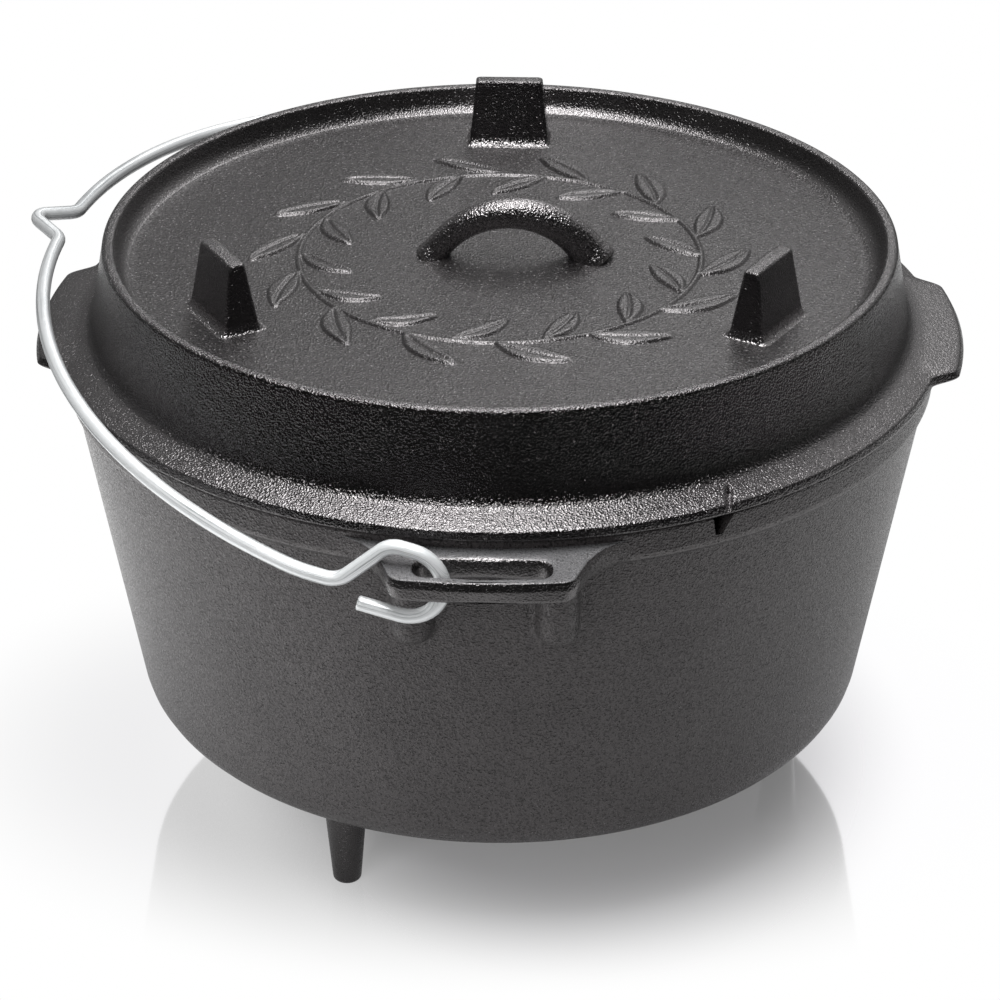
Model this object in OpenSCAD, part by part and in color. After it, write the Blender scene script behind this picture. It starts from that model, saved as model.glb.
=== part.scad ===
// Camp dutch oven: a footed pot, a flat coal-tray lid and a wire bail.
// Millimetres, +Z up, origin on the ground under the pot's axis.
// The ears point along -Y (front) and +Y (rear), the lid's lugs along -X and +X.

/* [Pot] */
// Radius of the collar round the mouth
collar_r = 155.5; // [140:0.5:175]
// Height of the collar band
collar_h = 10.6; // [6:0.2:16]
// How far the collar stands out from the wall at its lower edge
collar_step = 2.1; // [0.6:0.1:4]
// Outside height from the underside of the base to the rim
pot_h = 138; // [100:1:170]
// Lean of the wall from upright, in degrees
wall_taper = 9.8; // [4:0.1:14]
// Thickness of the wall
wall_t = 4.8; // [3.5:0.1:7]
// Thickness of the base
base_t = 5.5; // [4:0.1:8]
// Outside radius where the base turns up into the wall
base_corner_r = 14.7; // [10:0.1:24]

/* [Feet] */
// Height of the feet, and so of the base above the ground
foot_h = 36; // [20:1:50]
// Diameter of a foot at the base
foot_top_d = 15; // [11:0.5:20]
// Diameter of a foot near the ground
foot_tip_d = 9.6; // [7:0.2:11]
// Bevel round the ground end of a foot
foot_bevel = 1.6; // [0.5:0.1:2.5]
// Radius of the circle that the three feet stand on
foot_ring_r = 107; // [70:1:110]
// Turn of the first foot from the front, in degrees
foot_turn = -29; // [-60:1:60]

/* [Ears] */
// How far an ear reaches beyond the collar
ear_reach = 23.3; // [20:0.1:32]
// Thickness of an ear
ear_t = 7.6; // [6:0.1:9]
// How far the top of an ear lies below the rim
ear_drop = 2.8; // [1.5:0.1:6]
// Width of an ear at its outer end
ear_w = 58.4; // [54:0.2:66]
// Flare of an ear's sides toward the pot, in degrees
ear_flare = 20.5; // [10:0.5:24]
// Corner radius at the outer end of an ear
ear_corner_r = 4.5; // [2:0.1:6]
// Radius where an ear runs into the collar
ear_root_r = 9; // [4:0.5:14]
// Length of the slot through an ear
slot_l = 42; // [36:0.2:44]
// Width of the slot through an ear
slot_w = 11; // [9:0.1:12]
// Corner radius of the slot
slot_corner_r = 4.5; // [2:0.1:4.5]
// Width of the lip outside the slot
lip_w = 4.9; // [3.5:0.1:7]
// Diameter of the half-round ribs under an ear
rib_d = 13; // [8:0.5:16]
// Distance between the two ribs of an ear
rib_pitch = 47; // [34:1:54]
// Height from the rim down to the lower end of a rib
rib_drop = 42; // [26:1:50]
// How far the middle of a rib stands out from the wall
rib_stand = 2.4; // [0.5:0.1:4]

/* [Probe notch] */
// Turn of the thermometer notch in the rim from the front, in degrees
notch_turn = 30; // [20:1:60]
// Width of the notch at the rim
notch_w = 8.6; // [5:0.2:10]
// Width of the notch at its foot
notch_foot_w = 2.6; // [1:0.1:4]
// Depth of the notch below the rim
notch_deep = 7.2; // [4:0.1:8]
// How far the foot of the notch lies to the left of its middle
notch_skew = 1.8; // [0:0.1:2.5]
// Width of the mark on the lid above the notch
mark_w = 2; // [1:0.1:3]
// Depth of that mark
mark_deep = 1.2; // [0.5:0.1:2]

/* [Lid] */
// How far the lid's brim reaches beyond the collar
brim_over = 2.5; // [1.5:0.1:6]
// Thickness of the brim
brim_t = 4.1; // [3:0.1:6]
// Width of the brim from the lid's wall to its edge
brim_w = 11.2; // [11:0.2:18]
// Radius of the fillet between brim and wall
brim_fillet_r = 5; // [2:0.2:8]
// Lean of the lid's wall from upright, in degrees
lid_taper = 10.4; // [4:0.2:14]
// Height from the underside of the brim to the top of the rim
lid_h = 39.2; // [28:0.2:50]
// Width of the rim round the coal tray
lid_rim_w = 3.8; // [2.5:0.1:6]
// Depth of the coal tray below the rim
tray_deep = 9.5; // [5:0.1:16]
// Lean of the tray's wall from upright, in degrees
tray_taper = 17; // [5:1:25]
// Fillet round the floor of the tray
tray_corner_r = 3; // [1:0.2:5]
// Thickness of the lid's plate and wall
lid_t = 4.9; // [3.5:0.1:7]
// Fillet under the plate, inside the lid
lid_corner_r = 8; // [4:0.5:12]
// Depth of the lip that keeps the lid centred in the mouth
seat_lip_h = 3; // [2:0.1:4]
// Play of that lip inside the mouth, on each side
lid_play = 2.3; // [2.2:0.1:4]

/* [Lid lugs] */
// How far a lug reaches beyond the brim
lug_reach = 8; // [6:0.1:14]
// Width of a lug at its outer end
lug_w = 70; // [40:1:90]
// Flare of a lug's sides toward the brim, in degrees
lug_flare = 34; // [20:1:45]
// Corner radius at the outer end of a lug
lug_corner_r = 4.5; // [2:0.1:5]
// Radius where a lug runs into the brim
lug_root_r = 6; // [3:0.5:8]

/* [Lid legs] */
// Height of the legs above the tray's floor
leg_h = 24.3; // [18:0.1:34]
// Width of a leg at the tray's floor
leg_base_w = 30; // [20:0.5:40]
// Width of a leg at its top
leg_top_w = 25; // [14:0.5:30]
// Thickness of a leg at the tray's floor
leg_base_t = 13.4; // [9:0.2:18]
// Thickness of a leg at its top
leg_top_t = 5.6; // [4:0.2:9]
// Radius of the circle that the three legs stand on
leg_ring_r = 107; // [80:1:112]

/* [Lid handle] */
// Diameter of the handle's bar
handle_d = 10.8; // [8:0.2:13]
// Distance between the feet of the arch, bar middle to bar middle
handle_span = 56; // [48:1:80]
// Height of the middle of the bar above the tray's floor
handle_rise = 16.4; // [15:0.2:18]
// How far the middle of the arch lies to the right of the lid's axis
handle_aside = 4.4; // [0:0.1:6]

/* [Bail] */
// Diameter of the wire
wire_d = 5; // [4:0.1:6]
// Lean of the bail above level where it rests, in degrees
bail_lean = 12.2; // [8:0.2:20]
// Play between the hook and the bar of the ear that it goes round
hook_play = 0.5; // [0.4:0.1:1]
// Slack of the hook below the bar
hook_slack = 5; // [3:0.2:7]
// How far the hook's bend lies beyond the middle of the bar
hook_throat = 2.6; // [1:0.1:4]
// Length of the hook's free end past the start of its bend
tail_l = 14; // [8:0.5:18]
// How far the hook lies inside the middle of the slot
hook_inset = 2; // [1:0.1:2.4]
// Length of the hook's straight top leg
top_leg_l = 4.4; // [4:0.1:8]
// Bend radius above the sloped neck
neck_top_r = 7; // [5:0.5:8]
// Bend radius below the sloped neck
neck_foot_r = 9; // [6:0.5:11]
// Straight run between the neck and the wrist
neck_lead = 3.5; // [1:0.5:10]
// Bend radius of the wrist, where the arm turns toward its hook
wrist_r = 40; // [20:1:60]
// Straight run between the wrist and the arm's long bend
wrist_run = 3; // [1:0.5:14]
// Straight run between the arm's long bend and the kink
arm_lead = 3; // [1:0.5:12]
// Straight side of the kink that a hanger hooks into
kink_side = 9.5; // [6:0.5:14]
// Bend radius at the feet of the kink
kink_foot_r = 6; // [4:0.5:8]
// Bend radius at the tip of the kink
kink_tip_r = 4; // [3:0.5:6]

/* [Hidden] */
$fn = 96;
iron = [0.17, 0.17, 0.18];
zinc = [0.80, 0.82, 0.84];
// Spare length by which a cut runs past the face it opens
cut = 2;
// Radius well past everything, for wedges
far = 400;
// Number of feet under the pot, and of legs on the lid
foot_count = 3;

// Heights
base_z = foot_h;
rim_z = base_z + pot_h;
collar_z = rim_z - collar_h;
collar_foot_z = collar_z - collar_step;
ear_top_z = rim_z - ear_drop;
brim_top_z = rim_z + brim_t;
lid_rim_z = rim_z + lid_h;
tray_z = lid_rim_z - tray_deep;

// Outside and inside radius of the pot's wall at height z
function wall_r(z) = collar_r - collar_step + (z - collar_z) * tan(wall_taper);
function mouth_r(z) = wall_r(z) - wall_t / cos(wall_taper);
// Radius of the lid's brim, and of its wall where it meets the brim
brim_r = collar_r + brim_over;
lid_wall_r = brim_r - brim_w;
// Outside radius of the lid's wall at height z
function lid_r(z) = lid_wall_r - (z - brim_top_z) * tan(lid_taper);
function lid_bore_r(z) = lid_r(z) - lid_t / cos(lid_taper);
lid_rim_r = lid_r(lid_rim_z);
seat_lip_r = mouth_r(rim_z - seat_lip_h) - lid_play + seat_lip_h * tan(wall_taper);

// Places on an ear: its outer radius, the middle of its slot and the bar beside the slot
ear_r = collar_r + ear_reach;
slot_y = ear_r - lip_w - slot_w / 2;
bar_y = slot_y - hook_inset;
function tip_turn(tip_r, half_w, corner_r) = asin((half_w - corner_r) / (tip_r - corner_r));
function tip_corner(tip_r, half_w, corner_r) =
    let (a = tip_turn(tip_r, half_w, corner_r)) (tip_r - corner_r) * [sin(a), -cos(a)];
function side_start(tip_r, half_w, flare, corner_r) =
    tip_corner(tip_r, half_w, corner_r) + corner_r * [cos(flare), -sin(flare)];
ear_side = side_start(ear_r, ear_w / 2, ear_flare, ear_corner_r);
bar_outer_x = ear_side[0] + (-bar_y - ear_side[1]) * tan(ear_flare);
bar_w = bar_outer_x - slot_l / 2;
bar_x = slot_l / 2 + bar_w / 2;

// The bail turns on the line through the front ear's left bar and the rear ear's right bar
pivot_z = ear_top_z - ear_t / 2;
pivot_turn = atan2(bar_x, bar_y);
half_span = norm([bar_x, bar_y]);

// Half section of a tapered cup with a rounded corner, from its axis outwards
module cup_section(top_r, top_z, floor_z, taper, corner_r) {
    tangent_z = floor_z + corner_r * (1 - sin(taper));
    tangent_r = top_r - (top_z - tangent_z) * tan(taper);
    flat_r = tangent_r - corner_r * cos(taper);
    polygon([[0, floor_z], [flat_r, floor_z], [tangent_r, tangent_z], [top_r, top_z], [0, top_z]]);
    translate([flat_r, floor_z + corner_r])
        circle(corner_r);
}

// Tab that points along -Y: its end follows a circle round the axis, its sides flare
module tab_outline(tip_r, root_r, half_w, flare, corner_r, fillet_r) {
    turn = tip_turn(tip_r, half_w, corner_r);
    corner = tip_corner(tip_r, half_w, corner_r);
    side = side_start(tip_r, half_w, flare, corner_r);
    along = [sin(flare), cos(flare)];
    outward = [cos(flare), -sin(flare)];
    // middle of the fillet: fillet_r from the side and from the root circle
    start = side + fillet_r * outward;
    reach = start * along;
    travel = -reach - sqrt(reach * reach - start * start + pow(root_r + fillet_r, 2));
    middle = start + travel * along;
    on_side = middle - fillet_r * outward;
    on_root = middle * root_r / (root_r + fillet_r);
    inner = on_root * (1 - fillet_r / root_r);
    intersection() {
        circle(tip_r);
        polygon([[0, 0], far * [-sin(turn), -cos(turn)], far * [sin(turn), -cos(turn)]]);
    }
    for (m = [0, 1])
        mirror([m, 0]) {
            translate(corner)
                circle(corner_r);
            polygon([[0, side[1]], side, on_side, inner, [0, inner[1]]]);
            difference() {
                polygon([on_side, middle, on_root, inner]);
                translate(middle)
                    circle(fillet_r);
            }
        }
}

module slot_outline() {
    square([slot_l - 2 * slot_corner_r, slot_w], center = true);
    square([slot_l, slot_w - 2 * slot_corner_r], center = true);
    for (x = [-1, 1], y = [-1, 1])
        translate([x * (slot_l / 2 - slot_corner_r), y * (slot_w / 2 - slot_corner_r)])
            circle(slot_corner_r);
}

module ear() {
    translate([0, 0, ear_top_z - ear_t])
        linear_extrude(ear_t)
            difference() {
                tab_outline(ear_r, collar_r, ear_w / 2, ear_flare, ear_corner_r, ear_root_r);
                translate([0, -slot_y])
                    slot_outline();
            }
    rib_end_z = rim_z - rib_drop + rib_d / 2;
    rib_l = (ear_top_z - ear_t / 2 - rib_end_z) / cos(wall_taper);
    for (x = [-1, 1] * rib_pitch / 2) {
        rib_y = sqrt(pow(wall_r(rib_end_z) + rib_stand, 2) - x * x);
        translate([x, -rib_y, rib_end_z]) {
            sphere(d = rib_d);
            rotate([wall_taper, 0, 0])
                cylinder(h = rib_l, d = rib_d);
        }
    }
}

module foot() {
    bevel_r = foot_tip_d / 2 - foot_bevel;
    cylinder(h = foot_bevel, r1 = bevel_r, d2 = foot_tip_d);
    translate([0, 0, foot_bevel])
        cylinder(h = base_z + base_t / 2 - foot_bevel, d1 = foot_tip_d, d2 = foot_top_d);
}

module notch_cut() {
    half = notch_w / 2;
    foot_left = -notch_skew - notch_foot_w / 2;
    foot_right = -notch_skew + notch_foot_w / 2;
    rotate([0, 0, notch_turn])
        translate([0, -mouth_r(rim_z) + 2 * wall_t, rim_z])
            rotate([90, 0, 0])
                linear_extrude(4 * wall_t)
                    polygon([[-half, cut], [-half, 0], [foot_left, -notch_deep],
                             [foot_right, -notch_deep], [half, 0], [half, cut]]);
}

module pot() {
    color(iron)
        difference() {
            union() {
                rotate_extrude() {
                    cup_section(wall_r(rim_z), rim_z, base_z, wall_taper, base_corner_r);
                    polygon([[0, collar_foot_z], [wall_r(collar_foot_z), collar_foot_z], [collar_r, collar_z],
                             [collar_r, rim_z], [0, rim_z]]);
                }
                for (turn = [0, 180])
                    rotate([0, 0, turn])
                        ear();
                for (i = [0 : foot_count - 1])
                    rotate([0, 0, foot_turn + i * 360 / foot_count])
                        translate([0, -foot_ring_r, 0])
                            foot();
            }
            rotate_extrude()
                cup_section(mouth_r(rim_z + cut), rim_z + cut, base_z + base_t, wall_taper,
                            base_corner_r - wall_t);
            notch_cut();
        }
}

// Half section of the lid without its lugs, legs and handle
module lid_section() {
    fillet_z = brim_top_z + brim_fillet_r;
    fillet_x = lid_r(fillet_z) + brim_fillet_r / cos(lid_taper);
    on_wall = [fillet_x, fillet_z] - brim_fillet_r * [cos(lid_taper), sin(lid_taper)];
    hollow_z = tray_z - lid_t;
    lip_z = rim_z - seat_lip_h;
    difference() {
        union() {
            translate([0, rim_z])
                square([brim_r, brim_t]);
            translate([0, lip_z])
                square([seat_lip_r, seat_lip_h]);
            polygon([[0, brim_top_z], [lid_wall_r, brim_top_z], [lid_rim_r, lid_rim_z], [0, lid_rim_z]]);
            difference() {
                polygon([[fillet_x, brim_top_z], [fillet_x, fillet_z], on_wall,
                         [lid_r(brim_top_z) - brim_fillet_r, brim_top_z]]);
                translate([fillet_x, fillet_z])
                    circle(brim_fillet_r);
            }
        }
        cup_section(lid_rim_r - lid_rim_w + cut * tan(tray_taper), lid_rim_z + cut, tray_z, tray_taper,
                    tray_corner_r);
        mirror([0, 1])
            cup_section(lid_bore_r(lip_z - cut), cut - lip_z, -hollow_z, lid_taper, lid_corner_r);
    }
}

module lug() {
    translate([0, 0, rim_z])
        linear_extrude(brim_t)
            tab_outline(brim_r + lug_reach, brim_r, lug_w / 2, lug_flare, lug_corner_r, lug_root_r);
}

// Tapered blade, the meeting of two tapered slabs
module lid_leg() {
    sunk = lid_t / 2;
    base_half_w = leg_base_w / 2;
    base_half_t = leg_base_t / 2;
    rotate([90, 0, 0])
        intersection() {
            translate([0, 0, -leg_base_t])
                linear_extrude(2 * leg_base_t)
                    polygon([[-base_half_w, -sunk], [base_half_w, -sunk], [base_half_w, 0],
                             [leg_top_w / 2, leg_h], [-leg_top_w / 2, leg_h], [-base_half_w, 0]]);
            rotate([0, 90, 0])
                translate([0, 0, -leg_base_w])
                    linear_extrude(2 * leg_base_w)
                        polygon([[-base_half_t, -sunk], [base_half_t, -sunk], [base_half_t, 0],
                                 [leg_top_t / 2, leg_h], [-leg_top_t / 2, leg_h], [-base_half_t, 0]]);
        }
}

// Round bar bent to an arc that rises from the tray's floor
module lid_handle() {
    half = handle_span / 2;
    arch_r = (half * half + handle_rise * handle_rise) / (2 * handle_rise);
    intersection() {
        translate([0, 0, handle_rise - arch_r])
            rotate([90, 0, 0])
                rotate_extrude()
                    translate([arch_r, 0])
                        circle(d = handle_d);
        translate([-handle_span, -handle_d, -lid_t / 2])
            cube([2 * handle_span, 2 * handle_d, 2 * handle_rise + lid_t]);
    }
}

module lid() {
    color(iron)
        difference() {
            union() {
                rotate_extrude()
                    lid_section();
                difference() {
                    for (turn = [-90, 90])
                        rotate([0, 0, turn])
                            lug();
                    translate([0, 0, rim_z - cut])
                        cylinder(h = brim_t + 2 * cut, r = brim_r - lug_reach);
                }
                for (i = [0 : foot_count - 1])
                    rotate([0, 0, 180 + i * 360 / foot_count])
                        translate([0, -leg_ring_r, tray_z])
                            lid_leg();
                translate([handle_aside, 0, tray_z])
                    lid_handle();
            }
            rotate([0, 0, notch_turn])
                translate([-mark_w / 2, -brim_r - cut, brim_top_z - mark_deep])
                    cube([mark_w, brim_r - lid_wall_r - brim_fillet_r + cut, mark_deep + cut]);
        }
}

// The wire's bends turn by multiples of the angle of a 3-4-5 triangle, less whole quarter turns.
// Headings of a half wire are measured from -Y toward +X, in the plane of its arm.
tip_turn_half = atan2(4, 3);
kink_foot_turn = 6 * tip_turn_half - 270;
arm_turn = 3 * tip_turn_half - 90;
wrist_turn = 2 * tip_turn_half - 90;
neck_turn = tip_turn_half;
side_heading = tip_turn_half;
lead_heading = side_heading - kink_foot_turn;
wrist_heading = lead_heading + arm_turn;
// Tilt of the arms' plane about X, so that one hook hangs below the kink and the other above
arm_tilt = acos(0.99863);

// Heights of the hook's two legs from the middle of the bar, square to the bail
hook_top = norm([bar_w / 2, ear_t / 2]) + hook_play + wire_d / 2;
hook_low = hook_top + hook_slack;
hook_r = (hook_top + hook_low) / 2;
neck_rise = hook_top + half_span * tan(arm_tilt);
neck_l = (neck_rise - (neck_foot_r + neck_top_r) * (1 - cos(neck_turn))) / sin(neck_turn);

// The arm's long bend takes up what is left between the kink and the hook
arm_r = (half_span / cos(arm_tilt) - kink_tip_r * sin(side_heading) - kink_side * cos(side_heading)
    - kink_foot_r * (sin(side_heading) - sin(lead_heading)) - arm_lead * cos(lead_heading)
    - wrist_run * cos(wrist_heading) - wrist_r * (1 - sin(wrist_heading)))
    / (sin(wrist_heading) - sin(lead_heading));
kink_h = kink_tip_r * (1 - cos(side_heading)) + kink_side * sin(side_heading)
    + kink_foot_r * (cos(lead_heading) - cos(side_heading));
arm_reach = arm_lead * sin(lead_heading) + arm_r * (cos(lead_heading) - cos(wrist_heading))
    + wrist_run * sin(wrist_heading) + wrist_r * cos(wrist_heading) + neck_lead;
neck_reach = (neck_foot_r + neck_top_r) * sin(neck_turn) + neck_l * cos(neck_turn);
bail_reach = kink_h + arm_reach + neck_reach + top_leg_l - hook_throat;

// One half of the wire from the tip of the kink to the end of its hook, in steps:
// [straight run, roll before the bend, bend radius, turn of the bend]
half_wire = [
    [0, 0, kink_tip_r, tip_turn_half],
    [kink_side, 180, kink_foot_r, kink_foot_turn],
    [arm_lead, 180, arm_r, arm_turn],
    [wrist_run, 0, wrist_r, wrist_turn],
    [neck_lead, 90 - arm_tilt, neck_foot_r, neck_turn],
    [neck_l, 180, neck_top_r, neck_turn],
    [top_leg_l, 0, hook_r, 90],
    [0, 0, hook_r, 90],
    [tail_l, 0, 0, 0],
];

// Moves its children from the start of a bend to its end; the wire runs along X and bends toward Y
module past_bend(bend_r, turn) {
    translate([0, bend_r, 0])
        rotate([0, 0, turn])
            translate([0, -bend_r, 0])
                children();
}

// Ring sector, cut square at its end in the frame that the next run starts from
module wire_bend(bend_r, turn) {
    spare = wire_d / 2 / bend_r * 180 / PI;
    difference() {
        translate([0, bend_r, 0])
            rotate([0, 0, -90])
                rotate_extrude(angle = turn + spare)
                    translate([bend_r, 0])
                        circle(d = wire_d);
        past_bend(bend_r, turn)
            translate([0, -wire_d, -wire_d])
                cube(2 * wire_d);
    }
}

// The half wire from step i to its end, along X
module wire_from(i) {
    run = half_wire[i][0];
    bend_r = half_wire[i][2];
    turn = half_wire[i][3];
    if (run > 0)
        rotate([0, 90, 0])
            cylinder(h = run, d = wire_d);
    if (turn > 0)
        translate([run, 0, 0])
            rotate([half_wire[i][1], 0, 0]) {
                wire_bend(bend_r, turn);
                past_bend(bend_r, turn)
                    wire_from(i + 1);
            }
}

// -X runs out to the kink and Y along the pivot line; the second half is the first turned over about X
module bail() {
    color(zinc)
        translate([0, 0, pivot_z])
            rotate([0, bail_lean, -pivot_turn])
                for (half_turn = [0, 180])
                    rotate([half_turn, 0, 0])
                        rotate([arm_tilt, 0, 0])
                            translate([-bail_reach, 0, 0])
                                rotate([0, 0, -90])
                                    wire_from(0);
}

pot();
lid();
bail();
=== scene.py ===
# %% [markdown]
# # A camp dutch oven in cast iron
#
# The oven is three things: a footed pot, a lid with a tray for coals, and a wire bail.
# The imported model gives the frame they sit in. Each visible surface here is a formula
# worked out with numpy on a grid of two parameters, so that the blends of a sand casting,
# which plain solids lack, come out of the maths.

# %% Load the frame
import math

import bmesh
import bpy
import numpy as np
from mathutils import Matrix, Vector


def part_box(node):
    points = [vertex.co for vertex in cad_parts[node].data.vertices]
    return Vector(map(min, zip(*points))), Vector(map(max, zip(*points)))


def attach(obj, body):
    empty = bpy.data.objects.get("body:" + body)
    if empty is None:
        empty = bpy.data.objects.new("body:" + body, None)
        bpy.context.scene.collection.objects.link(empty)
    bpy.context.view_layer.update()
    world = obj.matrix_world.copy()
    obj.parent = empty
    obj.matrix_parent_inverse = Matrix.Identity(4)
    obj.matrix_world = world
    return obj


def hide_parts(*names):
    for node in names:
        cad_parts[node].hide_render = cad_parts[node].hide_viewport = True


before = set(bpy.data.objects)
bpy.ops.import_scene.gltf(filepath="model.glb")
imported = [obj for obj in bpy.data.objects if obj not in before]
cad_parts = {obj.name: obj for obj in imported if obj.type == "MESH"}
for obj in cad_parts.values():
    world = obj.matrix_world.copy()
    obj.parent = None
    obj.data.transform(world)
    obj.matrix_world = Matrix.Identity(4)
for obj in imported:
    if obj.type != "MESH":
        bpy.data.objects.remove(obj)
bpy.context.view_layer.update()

# %% [markdown]
# ## Driving sizes
#
# All lengths are metres. The outer sizes come from the frame: the pot's box ends at its collar, its
# ears and its rim, and the lid's box at its lugs, its brim and the tops of its legs, so the visible
# surfaces follow the solids if those change. The rest are the sizes that a pattern maker would
# measure on the casting.

# %% Sizes
COLLAR_R, EAR_R, RIM_Z = [float(v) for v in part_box("pot")[1]]
LUG_R, BRIM_R, LEG_TOP_Z = [float(v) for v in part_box("lid")[1]]

FOOT_H = 0.036
WALL_TAPER = math.radians(9.8)
WALL_T = 0.0048
BASE_T = 0.0055
BASE_CORNER_R = 0.0147
COLLAR_H = 0.0106
COLLAR_STEP = 0.0021

BRIM_T = 0.0041
LID_WALL_R = 0.1468
LID_TAPER = math.radians(10.4)
LID_RIM_Z = RIM_Z + 0.0392
LID_RIM_W = 0.0038
TRAY_DEEP = 0.0095
TRAY_TAPER = math.radians(17)
LID_T = 0.0049
SEAT_LIP_H = 0.003
SEAT_LIP_R = 0.14806
TRAY_Z = LID_RIM_Z - TRAY_DEEP

COLLAR_Z = RIM_Z - COLLAR_H
BASE_Z = FOOT_H
BRIM_TOP_Z = RIM_Z + BRIM_T
print("rim at", round(RIM_Z, 4), "tray at", round(TRAY_Z, 4), "leg tops at", round(LEG_TOP_Z, 4))

# %% [markdown]
# ## Tools for grids
#
# A section is a row of corners joined by straight runs, with an arc at each corner. Iron can't be
# cast with a sharp edge, so nearly every corner has a radius. The corners could be bevelled after
# meshing, but with the arc in the section the grid lines follow the edge and catch its light.
# A grid of points then becomes a mesh in one go: the faces are index sums, and points that fall
# together, at a pole or a seam, are merged.

# %% Grid helpers
MERGE_DIST = 2e-6
SLIVER_DIST = 1e-7
ON_AXIS = 1e-6


def rounded_path(corners, radii, steps, arc_steps=6):
    """Points along straight runs joined by arcs.

    At a corner with turn t and radius r the arc starts r * tan(t / 2) before the corner, and its
    points are its middle plus r times a unit vector that swings from one run's normal to the next.
    steps gives the number of parts of each straight run.
    """
    corners = np.asarray(corners, float)
    done = [corners[:1]]
    here = corners[0]
    for i in range(1, len(corners)):
        corner, radius = corners[i], radii[i]
        arrive = (corner - here) / np.linalg.norm(corner - here)
        if radius > 0 and i < len(corners) - 1:
            leave = corners[i + 1] - corner
            leave = leave / np.linalg.norm(leave)
            turn = math.atan2(arrive[0] * leave[1] - arrive[1] * leave[0], float(arrive @ leave))
            back = radius * math.tan(abs(turn) / 2)
            start = corner - back * arrive
            side = math.copysign(1, turn)
            normal = side * np.array([-arrive[1], arrive[0]])
            angle = np.linspace(0, abs(turn), arc_steps + 1)[:, None]
            arc = start + radius * (normal * (1 - np.cos(angle)) + arrive * np.sin(angle))
        else:
            start, arc = corner, corner[None, :]
        share = np.linspace(0, 1, steps[i - 1] + 1)[1:, None]
        done.append(here + share * (start - here))
        done.append(arc[1:])
        here = arc[-1]
    return np.vstack(done)


def smooth(x, low, high):
    """0 below low, 1 above high, and the cubic 3u^2 - 2u^3 between."""
    u = np.clip((x - low) / (high - low), 0, 1)
    return u * u * (3 - 2 * u)


def soft_max(a, b, width):
    """The larger of a and b, with a parabolic fillet where they differ by less than width."""
    u = np.clip(0.5 + 0.5 * (a - b) / width, 0, 1)
    return b + (a - b) * u + width * u * (1 - u)


def revolve(section, angles):
    """Turns a section of (radius, height) about Z: angle 0 is the front, -Y, and grows toward +X."""
    r, z = section[None, :, 0], section[None, :, 1]
    return np.stack([r * np.sin(angles)[:, None], -r * np.cos(angles)[:, None],
                     np.broadcast_to(z, (len(angles), z.shape[1]))], -1)


def spin_about(axis, angle):
    """Rotation matrix about an axis: 0 is X, 1 is Y, 2 is Z."""
    c, s = math.cos(angle), math.sin(angle)
    a, b = (axis + 1) % 3, (axis + 2) % 3
    matrix = np.eye(3)
    matrix[a, a], matrix[a, b], matrix[b, a], matrix[b, b] = c, -s, s, c
    return matrix


def moved_out(grid, radius):
    """The grid with each point's distance from the Z axis changed to radius; points on the axis stay."""
    r = np.hypot(grid[..., 0], grid[..., 1])
    stretch = np.where(r > ON_AXIS, radius / np.maximum(r, ON_AXIS), 1)
    return grid * np.stack([stretch, stretch, np.ones_like(r)], -1)


def spaced_angles(coarse, windows):
    """Angles round a full turn, coarse apart, with finer ones in each (middle, half, step) window."""
    turns = [np.arange(-180, 180, coarse)]
    for middle, half, step in windows:
        turns.append(np.mod(middle + np.arange(-half, half + step / 2, step) + 180, 360) - 180)
    return np.radians(np.unique(np.round(np.concatenate(turns), 3)))


def grid_piece(name, grid, wrap_rows, wrap_columns):
    """One mesh object from a grid of points (rows, columns, 3).

    Face k joins point k with its neighbours along a row and a column. The rows and the columns may
    each close on themselves. Apart from the floor's, every grid is a closed shell.
    """
    index = np.arange(grid.shape[0] * grid.shape[1]).reshape(grid.shape[:2])
    if wrap_rows:
        index = np.vstack([index, index[:1]])
    if wrap_columns:
        index = np.hstack([index, index[:, :1]])
    faces = np.stack([index[:-1, :-1], index[1:, :-1], index[1:, 1:], index[:-1, 1:]], -1)
    mesh = bpy.data.meshes.new(name)
    mesh.from_pydata(grid.reshape(-1, 3).tolist(), [], faces.reshape(-1, 4).tolist())
    shell = bmesh.new()
    shell.from_mesh(mesh)
    bmesh.ops.remove_doubles(shell, verts=shell.verts, dist=MERGE_DIST)
    bmesh.ops.dissolve_degenerate(shell, edges=shell.edges, dist=SLIVER_DIST)
    bmesh.ops.recalc_face_normals(shell, faces=shell.faces)
    shell.to_mesh(mesh)
    shell.free()
    mesh.shade_smooth()
    piece = bpy.data.objects.new(name, mesh)
    bpy.context.scene.collection.objects.link(piece)
    print(name, "has", len(mesh.polygons), "faces")
    return piece


def place(piece, body, material, node=None):
    """The piece moves with its body, takes its slot and its finish, and may stand for a CAD node."""
    piece.data.materials.append(material)
    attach(piece, body)
    if node:
        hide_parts(node)


corner_points = rounded_path([(0, 0), (1, 0), (1, 1)], [0, 0.2, 0], [1, 1])
print("a path with one rounded corner has", len(corner_points), "points")

# %% [markdown]
# ## Seasoned cast iron
#
# Sand leaves a pebbled skin on the iron, less than a millimetre from crest to crest, and the
# baked-on oil turns it charcoal black with a satin sheen. An even black with a bump would look like
# plastic, so the colour, the roughness and the relief each get their own noise: slow clouds for the
# oil, pebbles for the sand, and dark pin-holes. One recipe makes nine finishes. Some follow the
# casting, which isn't the same all over: the pot is grey and dull, and the lid is blacker and
# shinier. Others paint light and shade: the ears' top planes are paler as painted light, the ears'
# fronts and the feet are near black as painted shade, the collar's lower edge has a painted
# highlight, and the tray's floor has small raised grains whose bright specks are painted glints.

# %% Shader helpers
def node_of(tree, kind, **inputs):
    """A shader node with its named sockets set."""
    node = tree.nodes.new(kind)
    for key, value in inputs.items():
        node.inputs[key.replace("_", " ")].default_value = value
    return node


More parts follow.
